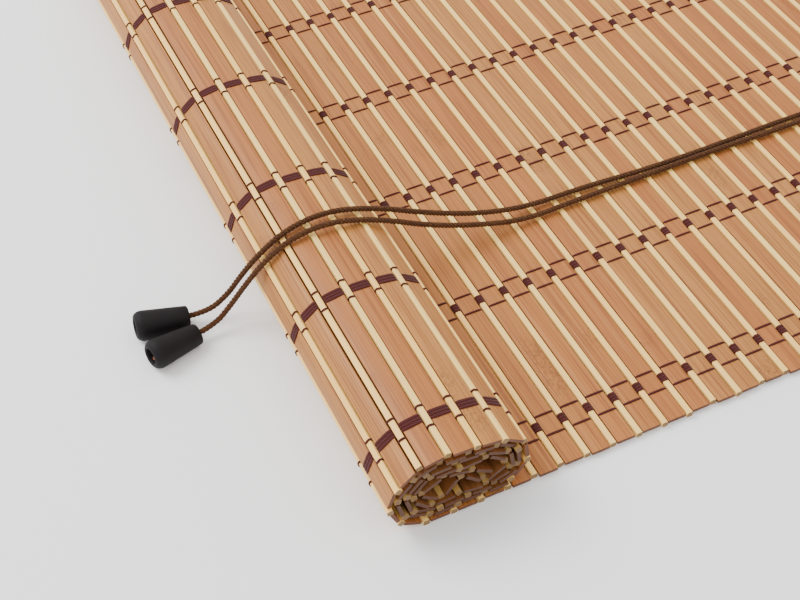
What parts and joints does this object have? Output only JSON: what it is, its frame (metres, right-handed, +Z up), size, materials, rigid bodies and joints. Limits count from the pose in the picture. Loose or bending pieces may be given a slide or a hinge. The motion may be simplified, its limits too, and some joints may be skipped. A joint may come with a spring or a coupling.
{
  "type": "roll up blind",
  "caption": "Woven bamboo roll-up blind, lying with its lower part rolled up, with header rail, hangers, cord lock, two pull cords and tassels",
  "frame": {"origin": "middle of the header rail's back face, which lies on the ground", "axes": "+X towards the blind's top edge, +Y along the slats, +Z up, away from the ground"},
  "size_m": [0.5114, 0.446, 0.0473],
  "materials": {
    "slat_bamboo": "sliced bamboo, satin, caramel",
    "stick_bamboo": "peeled bamboo, satin, pale cream",
    "rail_wood": "stained, satin",
    "warp_yarn": "twisted yarn, maroon brown",
    "cord_yarn": "tightly twisted cord, dark brown",
    "knot_yarn": "knotted cord, red brown",
    "tassel_plastic": "matte black",
    "lock_plastic": "matte, dark brown",
    "roller_brass": "turned",
    "steel": "zinc plated"
  },
  "bodies": {
    "blind": {"header_rail": "rail_wood", "mat_screws": "steel", "hanger_bracket_right": "steel", "hanger_bracket_left": "steel", "bracket_screws": "steel", "lock_body": "lock_plastic", "lock_screws": "steel", "guide_axle": "steel", "pull_cord_a": "cord_yarn", "pull_cord_b": "cord_yarn", "tassel_a": "tassel_plastic", "tassel_b": "tassel_plastic", "cord_knot_a": "knot_yarn", "cord_knot_b": "knot_yarn", "top_slat": "slat_bamboo", "slats_flat": "slat_bamboo", "slats_rolled": "slat_bamboo", "sticks_flat": "stick_bamboo", "sticks_rolled": "stick_bamboo", "warp_row_1": "warp_yarn", "warp_row_2": "warp_yarn", "warp_row_3": "warp_yarn", "warp_row_4": "warp_yarn", "warp_row_5": "warp_yarn", "warp_row_6": "warp_yarn"},
    "guide_roller": {"guide_roller": "roller_brass"},
    "pinch_pin": {"pinch_pin": "steel"},
    "pinch_roller": {"pinch_roller": "roller_brass"}
  },
  "joints": [
    {"name": "guide_roller_turn", "type": "hinge", "parent": "blind", "child": "guide_roller", "pos_m": [-0.027, -0.081, 0.0061], "axis": [0, 1, 0], "continuous": true},
    {"name": "pinch_pin_slide", "type": "slide", "parent": "blind", "child": "pinch_pin", "axis": [0.8192, 0, 0.5736], "range_m": [0, 0.0025]},
    {"name": "pinch_roller_turn", "type": "hinge", "parent": "pinch_pin", "child": "pinch_roller", "pos_m": [-0.031, -0.081, 0.0125], "axis": [0, 1, 0], "continuous": true}
  ]
}
